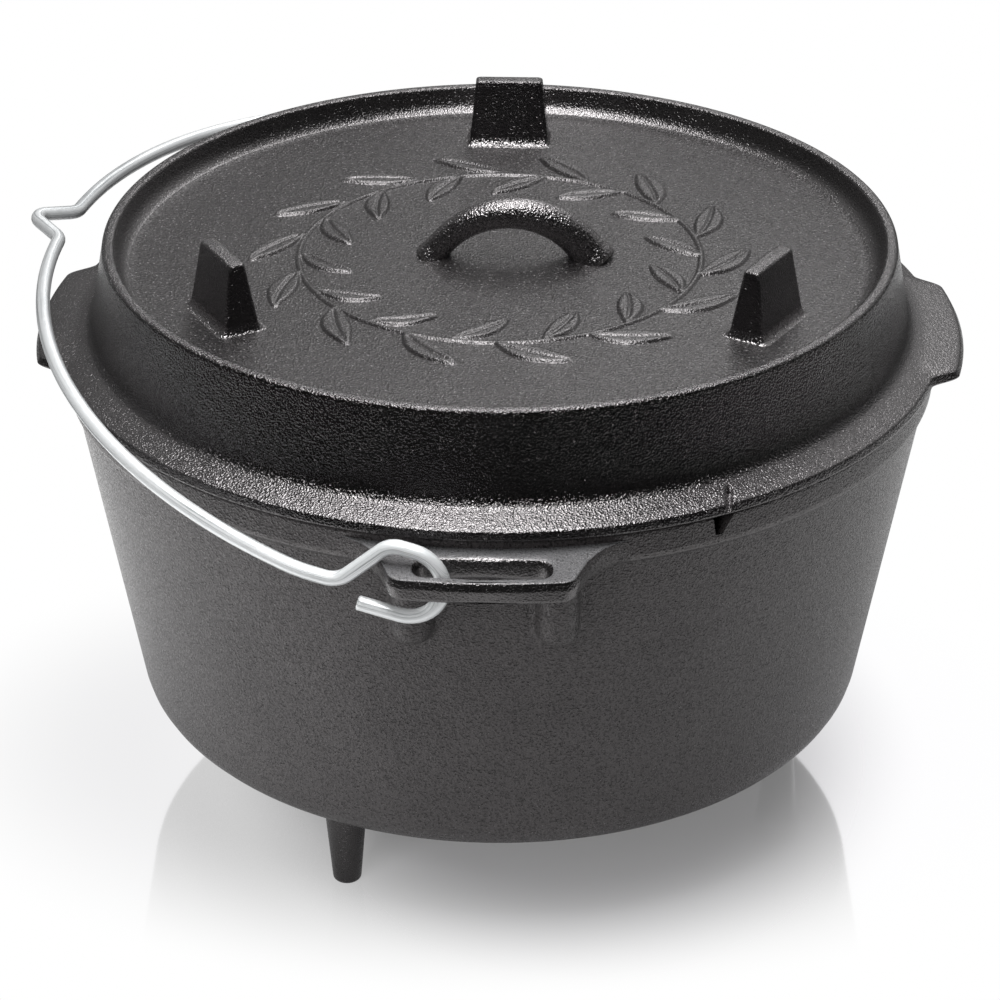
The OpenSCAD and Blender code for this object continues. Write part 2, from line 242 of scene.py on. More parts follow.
def ramp(tree, source, stops):
    """A colour ramp on a factor: stops are (spot, level), and a level is a grey or a colour."""
    node = tree.nodes.new("ShaderNodeValToRGB")
    tree.links.new(source, node.inputs["Fac"])
    elements = node.color_ramp.elements
    elements[0].position, elements[1].position = stops[0][0], stops[-1][0]
    for element, (_, level) in zip(elements, stops):
        element.color = (*level, 1) if isinstance(level, tuple) else (level, level, level, 1)
    return node


def blended(tree, kind, first, second, share=1.0):
    """A mix of two colours by a share, each a value or a socket. Inputs 6 and 7 are the colours."""
    node = tree.nodes.new("ShaderNodeMix")
    node.data_type = "RGBA"
    node.blend_type = kind
    sockets = (node.inputs["Factor"], node.inputs[6], node.inputs[7])
    for socket, value in zip(sockets, (share, first, second)):
        if isinstance(value, (float, tuple)):
            socket.default_value = value
        else:
            tree.links.new(value, socket)
    return node.outputs[2]


def scalar(tree, operation, first, second):
    """A math node of two values, each a number or a socket."""
    node = tree.nodes.new("ShaderNodeMath")
    node.operation = operation
    for socket, value in zip(node.inputs, (first, second)):
        if isinstance(value, (int, float)):
            socket.default_value = value
        else:
            tree.links.new(value, socket)
    return node.outputs[0]


def eased(tree, source, low, high, start, end):
    """Maps a socket from (low, high) to (start, end) with a soft step."""
    node = tree.nodes.new("ShaderNodeMapRange")
    node.interpolation_type = "SMOOTHSTEP"
    for key, value in (("From Min", low), ("From Max", high), ("To Min", start), ("To Max", end)):
        node.inputs[key].default_value = value
    tree.links.new(source, node.inputs["Value"])
    return node.outputs["Result"]


print("shader helpers ready")

# %% Iron recipe
# Sharp convex edges take this paler tone: partly seasoning rubbed thin, partly a painted highlight.
RUBBED_AND_HIGHLIGHT = (0.17, 0.165, 0.16, 1)
# The tray's specks take this tone: a painted glint.
PAINTED_GLINT = (0.36, 0.35, 0.35, 1)
WARM = (1.0, 0.955, 0.965, 1)
CLOUD_SCALE = 22.0
SPECK_SCALE = 380.0
PIT_SHARE = 0.8
TROUGH_ROUGHER = 0.12
CREST_SMOOTHER = 0.08


def iron(name, dark, pale, rough, ior, grain_scale, grain_depth, pit_depth, speck_depth=0.0):
    """Charcoal iron: clouds mix two blacks, grain and pits give the bump, and crests are shinier.

    Specks are small domes on a scattered pattern: near each cell's middle the surface rises,
    and its colour turns paler there, which is a painted glint. Where the mesh is sharply convex
    the seasoning is rubbed thin and the iron is paler, partly as real rubbing and partly as a
    painted highlight on the edges.
    """
    material = bpy.data.materials.new(name)
    material.use_nodes = True
    tree = material.node_tree
    shader = tree.nodes["Principled BSDF"]
    where = tree.nodes.new("ShaderNodeTexCoord").outputs["Object"]
    link = tree.links.new

    clouds = node_of(tree, "ShaderNodeTexNoise", Scale=CLOUD_SCALE, Detail=5.0, Roughness=0.6)
    grain = node_of(tree, "ShaderNodeTexNoise", Scale=grain_scale, Detail=1.0, Roughness=0.45)
    pits = node_of(tree, "ShaderNodeTexNoise", Scale=grain_scale * PIT_SHARE, Detail=0.0, Roughness=0.5)
    for noise in (clouds, grain, pits):
        link(where, noise.inputs["Vector"])

    tone = ramp(tree, clouds.outputs["Fac"], [(0.32, dark), (0.68, pale)])
    holes = ramp(tree, pits.outputs["Fac"], [(0.30, 0.4), (0.39, 1.0)])
    sharp = tree.nodes.new("ShaderNodeNewGeometry").outputs["Pointiness"]
    # pointiness picks the sharp edges that turn paler: partly rubbed seasoning, partly a painted
    # highlight
    rubbed_and_highlight = ramp(tree, sharp, [(0.53, 0.0), (0.62, 0.6)])
    pitted = blended(tree, "MULTIPLY", tone.outputs["Color"], holes.outputs["Color"])
    colour = blended(tree, "MIX", pitted, RUBBED_AND_HIGHLIGHT, rubbed_and_highlight.outputs["Color"])

    gloss = ramp(tree, grain.outputs["Fac"],
                 [(0.35, rough + TROUGH_ROUGHER), (0.68, rough - CREST_SMOOTHER)])
    link(gloss.outputs["Color"], shader.inputs["Roughness"])
    shader.inputs["IOR"].default_value = ior
    shader.inputs["Specular Tint"].default_value = WARM

    reliefs = [(grain.outputs["Fac"], grain_depth), (holes.outputs["Color"], pit_depth)]
    if speck_depth:
        cells = node_of(tree, "ShaderNodeTexVoronoi", Scale=SPECK_SCALE)
        cells.voronoi_dimensions = "2D"
        link(where, cells.inputs["Vector"])
        dots = ramp(tree, cells.outputs["Distance"], [(0.06, 0.9), (0.16, 0.0)])
        some = ramp(tree, cells.outputs["Color"], [(0.45, 0.0), (0.75, 1.0)])
        specks = blended(tree, "MULTIPLY", dots.outputs["Color"], some.outputs["Color"])
        # the specks' paler colour is a painted glint; in the bump below they are domes of real relief
        colour = blended(tree, "MIX", colour, PAINTED_GLINT, specks)
        reliefs.append((specks, speck_depth))
    link(colour, shader.inputs["Base Color"])
    normal = None
    for height, depth in reliefs:
        bump = node_of(tree, "ShaderNodeBump", Strength=1.0, Distance=depth)
        link(height, bump.inputs["Height"])
        if normal:
            link(normal, bump.inputs["Normal"])
        normal = bump.outputs["Normal"]
    link(normal, shader.inputs["Normal"])
    return material


def part_finish(piece, material, chosen):
    """Gives the faces whose middles are chosen another finish."""
    mesh = piece.data
    mesh.materials.append(material)
    middles = np.empty(len(mesh.polygons) * 3)
    mesh.polygons.foreach_get("center", middles)
    index = np.empty(len(mesh.polygons), dtype=np.int32)
    mesh.polygons.foreach_get("material_index", index)
    index[chosen(*middles.reshape(-1, 3).T)] = len(mesh.materials) - 1
    mesh.polygons.foreach_set("material_index", index)


print("iron recipe ready")

# %% Nine irons
POT_IRON = iron("pot_iron", (0.024, 0.0216, 0.0222), (0.041, 0.0374, 0.038), rough=0.30, ior=1.68,
                grain_scale=1400.0, grain_depth=0.00052, pit_depth=0.00040)
# The ears take a far darker iron than the pot they are cast with: painted shade, so that their upright
# fronts read black. The tray's inner wall takes it too, as a smooth near-black finish.
EAR_SHADE_AND_TRAY_WALL_IRON = iron("ear_shade_and_tray_wall_iron", (0.006, 0.0056, 0.0057), (0.011, 0.0103, 0.0105), rough=0.20, ior=2.10,
                grain_scale=1600.0, grain_depth=0.00020, pit_depth=0.00010)
# The ears' top planes take this much paler iron: painted light, where the lamp above falls.
LIT_EAR_TOP_IRON = iron("lit_ear_top_iron", (0.095, 0.095, 0.098), (0.130, 0.130, 0.134), rough=0.30, ior=1.80,
                 grain_scale=1600.0, grain_depth=0.00024, pit_depth=0.00010)
# A band of paler iron along the collar's lower edge: a painted highlight.
COLLAR_HIGHLIGHT_IRON = iron("collar_highlight_iron", (0.070, 0.066, 0.066), (0.100, 0.095, 0.095), rough=0.30, ior=1.68,
                 grain_scale=1400.0, grain_depth=0.00030, pit_depth=0.00016)
LID_IRON = iron("lid_iron", (0.004, 0.0036, 0.0038), (0.008, 0.0072, 0.0075), rough=0.13, ior=1.95,
                grain_scale=1500.0, grain_depth=0.00046, pit_depth=0.00010)
BRIM_IRON = iron("brim_iron", (0.008, 0.0074, 0.0076), (0.014, 0.013, 0.0133), rough=0.17, ior=2.10,
                 grain_scale=1500.0, grain_depth=0.00032, pit_depth=0.00010)
GRIP_IRON = iron("grip_iron", (0.005, 0.0046, 0.0048), (0.010, 0.0092, 0.0095), rough=0.17, ior=2.50,
                 grain_scale=1300.0, grain_depth=0.00044, pit_depth=0.00010)
# The wreath's iron. The feet take it too as painted shade: it is far darker than the pot's iron, because
# the feet stand under the pot.
RELIEF_AND_SHADED_FOOT_IRON = iron("relief_and_shaded_foot_iron", (0.007, 0.0063, 0.0066), (0.013, 0.012, 0.0123), rough=0.22, ior=1.72,
                   grain_scale=1500.0, grain_depth=0.00022, pit_depth=0.00010)
TRAY_IRON = iron("tray_iron", (0.007, 0.0063, 0.0066), (0.013, 0.012, 0.0123), rough=0.26, ior=1.57,
                 grain_scale=1400.0, grain_depth=0.00034, pit_depth=0.00014, speck_depth=0.00040)
print("nine irons made")

# %% [markdown]
# ## The pot
#
# One iron casting: a tapered wall, a flat base with a round corner, and a collar that stiffens the
# mouth. It could be lathed from one section, and is, but the half-round ribs that carry the ears and
# the thermometer notch in the rim aren't round. They are pushed out of, or cut into, the same grid,
# so that each blends into the wall as cast metal does.

# %% Pot body
def wall_r(z):
    """Outside radius of the pot's wall at height z."""
    return COLLAR_R - COLLAR_STEP + (z - COLLAR_Z) * math.tan(WALL_TAPER)


MOUTH_R = wall_r(RIM_Z) - WALL_T / math.cos(WALL_TAPER)
FLOOR_Z = BASE_Z + BASE_T
FLOOR_R = MOUTH_R - (RIM_Z - FLOOR_Z) * math.tan(WALL_TAPER)
COLLAR_LEAN = 0.0004
COLLAR_EDGE_R = 0.0014
COLLAR_FOOT_R = 0.0010
MOUTH_EDGE_R = 0.0012
RIB_TOP_Z = RIM_Z - 0.0072
RIB_LOW_Z = RIM_Z - 0.048
RIB_END_Z = RIM_Z - 0.0355
RIB_R = 0.0065
RIB_X = 0.0235
RIB_STAND = 0.0031
RIB_FALL = 2.5
RIB_FILLET = 0.0014
RIB_SIDE_Y = 0.12
WALL_SKIN = 0.001
NOTCH_TURN = math.radians(30)
NOTCH_HALF = 0.0043
NOTCH_LEFT = -0.0031
NOTCH_RIGHT = -0.0005
NOTCH_DEEP = 0.0072

pot_section = rounded_path(
    [(0, FLOOR_Z), (FLOOR_R, FLOOR_Z), (MOUTH_R, RIM_Z), (COLLAR_R, RIM_Z),
     (COLLAR_R - COLLAR_LEAN, COLLAR_Z), (wall_r(COLLAR_Z - COLLAR_STEP), COLLAR_Z - COLLAR_STEP),
     (wall_r(RIB_LOW_Z), RIB_LOW_Z), (wall_r(BASE_Z), BASE_Z), (0, BASE_Z)],
    [0, BASE_CORNER_R - WALL_T, MOUTH_EDGE_R, COLLAR_EDGE_R, COLLAR_EDGE_R, COLLAR_FOOT_R, 0,
     BASE_CORNER_R, 0],
    [8, 30, 2, 8, 1, 30, 20, 8])
pot_angles = spaced_angles(1.25, [(0, 13, 0.4), (180, 13, 0.4), (30, 2.2, 0.1)])
pot_grid = revolve(pot_section, pot_angles)


def with_ribs(grid):
    """Raises half-round ribs from the outer wall.

    A rib is a capsule whose middle line runs RIB_STAND outside the wall. Over each point of the
    wall the capsule's surface stands sqrt(RIB_R^2 - across^2 - below^2) beyond that line, falls
    away steeply outside it, and the larger of wall and rib is taken with a fillet.
    """
    x, y, z = grid[..., 0], grid[..., 1], grid[..., 2]
    r = np.hypot(x, y)
    across = np.minimum(np.abs(x - RIB_X), np.abs(x + RIB_X))
    below = np.clip(RIB_END_Z - z, 0, None)
    inside = RIB_R ** 2 - across ** 2 - below ** 2
    steep = -RIB_FALL * (np.sqrt(across ** 2 + below ** 2) - RIB_R)
    height = np.where(inside > 0, np.sqrt(np.clip(inside, 0, None)), steep)
    rib = wall_r(z) + RIB_STAND + height
    near = (np.abs(y) > RIB_SIDE_Y) & (z < RIB_TOP_Z) & (z > RIB_LOW_Z) & (r > wall_r(z) - WALL_SKIN)
    return moved_out(grid, np.where(near, np.maximum(soft_max(rib, r, RIB_FILLET), r), r))


def with_notch(grid):
    """Lowers the rim to a lopsided V: both edges fall linearly from the mouth to the narrow foot."""
    x, y, z = grid[..., 0], grid[..., 1], grid[..., 2]
    ahead = x * math.sin(NOTCH_TURN) - y * math.cos(NOTCH_TURN)
    aside = x * math.cos(NOTCH_TURN) + y * math.sin(NOTCH_TURN)
    from_left = (aside + NOTCH_HALF) / (NOTCH_HALF + NOTCH_LEFT)
    from_right = (NOTCH_HALF - aside) / (NOTCH_HALF - NOTCH_RIGHT)
    share = np.clip(np.minimum(from_left, from_right), 0, 1) * (ahead > 0)
    return np.stack([x, y, np.minimum(z, RIM_Z - NOTCH_DEEP * share)], -1)


pot_body = grid_piece("pot_body", with_notch(with_ribs(pot_grid)), True, False)
place(pot_body, "pot", POT_IRON, "pot")
# The collar's lower rounding takes a paler iron: a painted highlight along the edge.
HIGHLIGHT_STAND = 0.0006
HIGHLIGHT_HALF = 0.0011
part_finish(pot_body, COLLAR_HIGHLIGHT_IRON, lambda x, y, z: (
    (np.hypot(x, y) > wall_r(z) + HIGHLIGHT_STAND) & (np.abs(z - COLLAR_Z) < HIGHLIGHT_HALF)))

# %% [markdown]
# ## Ears
#
# Each ear is a loop of flat bar round a slot. It could be a plate with a hole cut in it, but as a
# ring the same grid gives the slot's rounded edge and the outer edge at once: a rounded rectangle is
# carried round the slot, and stretches from the slot's edge to the ear's outline. The outline is
# drawn in (x, radius), where the outer end is a straight line, and bent round the pot after that.

# %% Ears
EAR_T = 0.0076
EAR_TOP_Z = RIM_Z - 0.0028
EAR_EDGE_R = 0.0010
SLOT_EDGE_R = 0.0026
EAR_HALF_TIP = 0.0298
EAR_HALF_ROOT = 0.0345
EAR_ROOT_R = 0.1655
EAR_CORNER_R = 0.0045
EAR_ROOT_FILLET = 0.012
SHOULDER_HALF = 0.056
SHOULDER_RUN = 0.0055
SHOULDER_STAND = 0.0015
SHOULDER_FILLET = 0.015
SLOT_HALF_L = 0.021
SLOT_W = 0.011
SLOT_CORNER_R = 0.0045
SLOT_SQUEEZE = 0.35
LIP_W = 0.0049
SLOT_Y = EAR_R - LIP_W - SLOT_W / 2
ROOT_R = COLLAR_R - 0.0022
PARTING_DROP = 0.0029
EAR_DRAFT = math.tan(math.radians(13))
EAR_TOP_DRAFT = math.tan(math.radians(15))


def ear_grid(turn):
    """A ring of rounded-rectangle sections from the slot's edge to the ear's outline."""
    right = [(0, ROOT_R), (SHOULDER_HALF, ROOT_R),
             (EAR_HALF_ROOT + SHOULDER_RUN, COLLAR_R + SHOULDER_STAND),
             (EAR_HALF_ROOT, EAR_ROOT_R), (EAR_HALF_TIP, EAR_R)]
    left = [(-x, radius) for x, radius in right[::-1]]
    bends = [0, 0, SHOULDER_FILLET, EAR_ROOT_FILLET, EAR_CORNER_R]
    outline = rounded_path(right + left, bends + bends[::-1], [10, 4, 4, 4, 24, 4, 4, 4, 10])
    x, radius = outline[:, 0], outline[:, 1]
    outer = np.stack([x, -np.sqrt(radius ** 2 - x ** 2)], -1)
    half_w = SLOT_W / 2
    slot = rounded_path(
        [(0, -SLOT_Y + half_w), (SLOT_HALF_L, -SLOT_Y + half_w), (SLOT_HALF_L, -SLOT_Y - half_w),
         (-SLOT_HALF_L, -SLOT_Y - half_w), (-SLOT_HALF_L, -SLOT_Y + half_w), (0, -SLOT_Y + half_w)],
        [0] + 4 * [SLOT_CORNER_R] + [0], [20, 12, 40, 12, 20])
    # walk both loops by the angle round the slot's middle, so that their points face each other
    def by_angle(loop, angle):
        turn_of = np.unwrap(np.arctan2(loop[:, 0] * SLOT_SQUEEZE, loop[:, 1] + SLOT_Y))
        return np.stack([np.interp(angle, turn_of, loop[:, k]) for k in (0, 1)], -1)
    angle = np.linspace(0, 2 * math.pi, 321)[:-1]
    inner, outer = by_angle(slot, angle), by_angle(outer, angle)
    across = outer - inner
    width = np.linalg.norm(across, axis=1)[:, None]
    across = across / width
    # the section: corner arcs with the flats between them, as (share of the width, offset, height)
    quarter = np.radians(np.linspace(0, 90, 5))
    rows = []
    for share, start in ((1, 0), (0, 90), (0, 180), (1, 270)):
        swing = quarter + math.radians(start)
        up = 1 if start < 180 else -1
        rows.append(np.stack([np.full(5, share), np.cos(swing), np.sin(swing), np.full(5, up)], -1))
        if start in (0, 180):
            mid = np.linspace(share, 1 - share, 6)[1:-1]
            rows.append(np.stack([mid, np.zeros(4), np.full(4, float(up)), np.full(4, up)], -1))
    rows = np.vstack(rows)
    face = np.linspace(-1, 1, 14)[1:-1]
    front = np.stack([np.ones(12), np.ones(12), np.zeros(12), face], -1)
    section = np.vstack([rows, front])
    s, c, n, lift = section.T
    edge_r = np.where(s == 0, SLOT_EDGE_R, EAR_EDGE_R)
    reach = SLOT_EDGE_R + s[None] * (width - SLOT_EDGE_R - EAR_EDGE_R) + (edge_r * c)[None]
    height = np.broadcast_to(lift * (EAR_T / 2 - edge_r) + edge_r * n, reach.shape)
    # above and below the mould's parting line the outer face leans in, so that the sand let go of it
    over = height - (EAR_T / 2 - PARTING_DROP)
    lean = EAR_DRAFT * np.clip(-over, 0, None) + EAR_TOP_DRAFT * np.clip(over, 0, None)
    reach = reach - lean * np.where(s == 1, 1.0, 0.0)
    xy = inner[:, None, :] + across[:, None, :] * reach[..., None]
    grid = np.concatenate([xy, (EAR_TOP_Z - EAR_T / 2 + height)[..., None]], -1)
    return grid * np.array([turn, turn, 1.0])


print("the slot's middle is", round(SLOT_Y, 4), "m out")

# %% Ear pieces
EAR_GREY_X = EAR_HALF_TIP + 0.0015
LIT_TOP_FROM_Z = EAR_TOP_Z - 0.0003
for label, turn in (("front", 1), ("rear", -1)):
    ear = grid_piece("pot_ear_" + label, ear_grid(turn), True, True)
    # the ear's near-black iron is painted shade, so its upright front reads black
    place(ear, "pot", EAR_SHADE_AND_TRAY_WALL_IRON)
    part_finish(ear, POT_IRON, lambda x, y, z: np.abs(x) > EAR_GREY_X)
    # the ear's top plane takes a paler iron: painted light
    part_finish(ear, LIT_EAR_TOP_IRON, lambda x, y, z: z > LIT_TOP_FROM_Z)

# %% [markdown]
# ## Feet
#
# Three short tapered feet hold the base above the coals. A cone would do, but a cast foot spreads
# where it leaves the base and is rounded where it meets the ground, so each is lathed from a section
# with both of those in it.

# %% Feet
FOOT_TOP_R = 0.0080
FOOT_TIP_R = 0.0050
FOOT_TIP_EDGE_R = 0.0017
FOOT_SPREAD = 0.009
FOOT_SPREAD_R = 0.006
FOOT_SPREAD_Z = BASE_Z - 0.0005
FOOT_SUNK_Z = BASE_Z + 0.0016
FOOT_END_Z = BASE_Z + 0.0028
FOOT_RING_R = 0.107
FOOT_TURNS = (-29, 91, 211)

foot_section = rounded_path(
    [(0, 0), (FOOT_TIP_R, 0), (FOOT_TOP_R, FOOT_SPREAD_Z), (FOOT_TOP_R + FOOT_SPREAD, FOOT_SUNK_Z),
     (0, FOOT_END_Z)],
    [0, FOOT_TIP_EDGE_R, FOOT_SPREAD_R, 0, 0], [3, 14, 4, 3], arc_steps=8)
foot_grid = revolve(foot_section, np.radians(np.arange(0, 360, 10)))
for count, degrees in enumerate(FOOT_TURNS, 1):
    turn = math.radians(degrees)
    stand = np.array([FOOT_RING_R * math.sin(turn), -FOOT_RING_R * math.cos(turn), 0])
    foot = grid_piece("pot_foot_%d" % count, foot_grid + stand, True, False)
    # The feet take a near-black iron, much darker than the pot they are cast with: painted shade.
    place(foot, "pot", RELIEF_AND_SHADED_FOOT_IRON)

# %% [markdown]
# ## The lid
#
# The lid is lathed from one section as well: a tray for coals with a raised rim, a steep wall that
# sweeps out into the brim, and a lip below that keeps it centred. Two lugs stand out of the brim. The
# brim's radius is a function of the angle, and every point of the section outside the wall moves out
# with it, so the lugs have the brim's own edges.

# %% Lid body
def lid_r(z):
    """Outside radius of the lid's wall at height z."""
    return LID_WALL_R - (z - BRIM_TOP_Z) * math.tan(LID_TAPER)


LID_BORE = LID_T / math.cos(LID_TAPER)
LIP_Z = RIM_Z - SEAT_LIP_H
HOLLOW_Z = TRAY_Z - LID_T
TRAY_TOP_R = lid_r(LID_RIM_Z) - LID_RIM_W
TRAY_FLOOR_R = TRAY_TOP_R - TRAY_DEEP * math.tan(TRAY_TAPER)
LUG_FROM = math.radians(15.9)
LUG_TO = math.radians(11.9)
MARK_X = 0.0790
MARK_HALF = 0.0012
MARK_DEEP = 0.0026
MARK_LOW_Z = RIM_Z + BRIM_T * 0.6
FLAT_FROM_R = 0.1500
FLAT_TO_R = 0.1515
BRIM_DRAFT = 0.0008
BRIM_GAP = 0.0009
SWEEP_Z = BRIM_TOP_Z + 0.0040
LUG_LOW_Z = LIP_Z + 0.002
TRAY_FILLET_R = 0.0065
RIM_IN_R, RIM_OUT_R = 0.0013, 0.0016
SWEEP_R = 0.0055
BRIM_EDGE_R, BRIM_UNDER_R = 0.0012, 0.0008
SEAT_FOOT_R, SEAT_EDGE_R = 0.0006, 0.0009
HOLLOW_R = 0.008

lid_section = rounded_path(
    [(0, TRAY_Z), (TRAY_FLOOR_R, TRAY_Z), (TRAY_TOP_R, LID_RIM_Z), (lid_r(LID_RIM_Z), LID_RIM_Z),
     (lid_r(SWEEP_Z), SWEEP_Z), (BRIM_R - BRIM_DRAFT, BRIM_TOP_Z), (BRIM_R, RIM_Z + BRIM_GAP),
     (SEAT_LIP_R, RIM_Z), (SEAT_LIP_R, LIP_Z), (lid_r(LIP_Z) - LID_BORE, LIP_Z),
     (lid_r(HOLLOW_Z) - LID_BORE, HOLLOW_Z), (0, HOLLOW_Z)],
    [0, TRAY_FILLET_R, RIM_IN_R, RIM_OUT_R, SWEEP_R, BRIM_EDGE_R, BRIM_UNDER_R, SEAT_FOOT_R,
     SEAT_EDGE_R, SEAT_EDGE_R, HOLLOW_R, 0],
    [12, 4, 2, 16, 8, 1, 5, 1, 2, 10, 8])
lug_edges = [(middle, 5, 0.25) for middle in (76, 104, -76, -104)]
lid_angles = spaced_angles(1.0, lug_edges + [(30.2, 2.2, 0.1)])
lid_grid = revolve(lid_section, lid_angles)


def with_lugs(grid):
    """Moves the brim out at both sides: the lug's edge rises from the brim by a cubic of the angle."""
    x, y, z = grid[..., 0], grid[..., 1], grid[..., 2]
    r = np.hypot(x, y)
    from_side = np.arctan2(np.abs(y), np.abs(x))
    rise = (LUG_R - BRIM_R) * (1 - smooth(from_side, LUG_TO, LUG_FROM))
    outer = np.clip((r - FLAT_TO_R) / (BRIM_R - FLAT_TO_R), 0, 1) * (z < SWEEP_Z) * (z > LUG_LOW_Z)
    return moved_out(grid, r + rise * outer)


def with_mark(grid):
    """Sinks a short groove into the brim above the pot's notch, cut straight toward the front."""
    x, y, z = grid[..., 0], grid[..., 1], grid[..., 2]
    r = np.hypot(x, y)
    groove = 1 - smooth(np.abs(x - MARK_X), MARK_HALF * 0.6, MARK_HALF)
    sunk = MARK_DEEP * groove * smooth(r, FLAT_FROM_R, FLAT_TO_R)
    return np.stack([x, y, z - sunk * (y < 0) * (z > MARK_LOW_Z) * (z < SWEEP_Z)], -1)


lid_body = grid_piece("lid_body", with_mark(with_lugs(lid_grid)), True, False)
place(lid_body, "lid", LID_IRON, "lid")
TRAY_LOW_Z = TRAY_Z - 0.001
TRAY_HALF = 0.0004
BRIM_FROM_R = 0.1475
BRIM_LOW_Z = BRIM_TOP_Z - 0.0002
part_finish(lid_body, EAR_SHADE_AND_TRAY_WALL_IRON, lambda x, y, z: (np.hypot(x, y) < TRAY_TOP_R) & (z > TRAY_LOW_Z))
part_finish(lid_body, TRAY_IRON, lambda x, y, z: (
    (np.hypot(x, y) < TRAY_TOP_R) & (np.abs(z - TRAY_Z) < TRAY_HALF)))
part_finish(lid_body, BRIM_IRON, lambda x, y, z: (np.hypot(x, y) > BRIM_FROM_R) & (z > BRIM_LOW_Z))

# %% [markdown]
# ## Lid legs
#
# Three tapered blades let a second oven stand on the lid, or the lid stand upside down as a griddle.
# Each is a stack of rounded rectangles that shrink with height. Near the tray the stack widens along
# a quarter ellipse, which is the fillet, and at the top it draws in along a small quarter circle.

# %% Lid legs
LEG_RING_R = 0.107
LEG_H = LEG_TOP_Z - TRAY_Z
LEG_BASE = np.array([0.0300, 0.0134]) / 2
LEG_TOP = np.array([0.0250, 0.0056]) / 2
LEG_FILLET_H = 0.0032
LEG_FILLET_W = np.array([0.0012, 0.0024])
LEG_EDGE = 0.0008
LEG_CORNER_R = 0.0012
LEG_SUNK = 0.0012
ROUND_LIMIT = 0.95
LEG_TURNS = (180, 60, -60)


def blade(degrees):
    """Rounded rectangles over height h: half sizes run from base to top, plus fillet, less edge."""
    low = np.concatenate([[-LEG_SUNK], LEG_FILLET_H * np.linspace(0, 1, 10) ** 2])
    high = LEG_H - LEG_EDGE * (1 - np.sin(np.radians(np.linspace(0, 90, 5))))
    h = np.concatenate([low, np.linspace(LEG_FILLET_H, LEG_H - LEG_EDGE, 12)[1:-1], high])
    low_share = np.clip(1 - np.maximum(h, 0) / LEG_FILLET_H, 0, 1)
    fillet = LEG_FILLET_W * (1 - np.sqrt(1 - low_share ** 2))[:, None]
    draw = np.clip(h - (LEG_H - LEG_EDGE), 0, None)
    edge = LEG_EDGE - np.sqrt(np.clip(LEG_EDGE ** 2 - draw ** 2, 0, None))[:, None]
    share = np.clip(h / LEG_H, 0, 1)[:, None]
    half = LEG_BASE + (LEG_TOP - LEG_BASE) * share + fillet - edge
    corner = np.minimum(LEG_CORNER_R + fillet[:, :1], half.min(axis=1, keepdims=True) * ROUND_LIMIT)
    angle = np.radians(np.arange(0, 360, 90)[:, None] + np.linspace(0, 90, 6)).ravel()
    side_x = np.repeat([1, -1, -1, 1], 6)
    side_y = np.repeat([1, 1, -1, -1], 6)
    x = side_x * (half[:, :1] - corner) + corner * np.cos(angle)
    y = side_y * (half[:, 1:] - corner) + corner * np.sin(angle)
    rings = np.stack([x, y, np.broadcast_to(h[:, None], x.shape)], -1)
    to_axis = np.array([0, 0, 1])
    rings = np.concatenate([rings[:1] * to_axis, rings, rings[-1:] * to_axis])
    return (rings + np.array([0, -LEG_RING_R, TRAY_Z])) @ spin_about(2, math.radians(degrees)).T


for count, degrees in enumerate(LEG_TURNS, 1):
    leg = grid_piece("lid_leg_%d" % count, blade(degrees), False, True)
    place(leg, "lid", LID_IRON)
    part_finish(leg, GRIP_IRON, lambda x, y, z: z < TRAY_Z + LEG_FILLET_H)

# %% [markdown]
# ## Lid handle
#
# A round bar rises from the tray in a low arch, wide enough for a lid lifter's hook. It is a circle
# carried along an arc. The bar is stouter at its right foot than at its left, and near both feet its
# radius grows, so the bar spreads into the tray the way molten iron fills the mould's rounded corner.

# %% Lid handle
HANDLE_R = 0.0055
HANDLE_TAPER = 0.0011
HANDLE_HALF = 0.028
HANDLE_RISE = 0.0164
HANDLE_X = 0.0044
HANDLE_FLARE = 0.0016
HANDLE_FLARE_H = 0.0022
HANDLE_SUNK = 0.0014
HANDLE_END_Z = TRAY_Z - 0.0016

arch_r = (HANDLE_HALF ** 2 + HANDLE_RISE ** 2) / (2 * HANDLE_RISE)
arch_z = TRAY_Z + HANDLE_RISE - arch_r
end_turn = math.acos((arch_r - HANDLE_RISE - HANDLE_SUNK) / arch_r)
sweep = np.linspace(-end_turn, end_turn, 96)[:, None]
round_bar = np.radians(np.arange(0, 360, 10))[None, :]
lift = arch_z + arch_r * np.cos(sweep) - TRAY_Z
flare = HANDLE_FLARE * np.exp(-np.clip(lift, 0, None) / HANDLE_FLARE_H)
bar_r = HANDLE_R + HANDLE_TAPER * sweep / end_turn + flare
out_r = arch_r + bar_r * np.cos(round_bar)
handle_grid = np.stack([HANDLE_X + out_r * np.sin(sweep), bar_r * np.sin(round_bar) + 0 * sweep,
                        np.maximum(arch_z + out_r * np.cos(sweep), HANDLE_END_Z)], -1)
caps = [np.broadcast_to(handle_grid[k].mean(axis=0), handle_grid[:1].shape) for k in (0, -1)]
lid_handle = grid_piece("lid_handle", np.concatenate([caps[0], handle_grid, caps[1]]), False, True)
place(lid_handle, "lid", GRIP_IRON)

# %% [markdown]
# ## Relief in the tray
#
# The tray's floor carries raised ornament, cast with the lid: here a plain wreath. A leaf could be
# carved as its own solid, but a height over the tray's polar grid draws the whole ring at once. Where
# the height is nought the sheet lies just under the floor, so only the leaves come through.

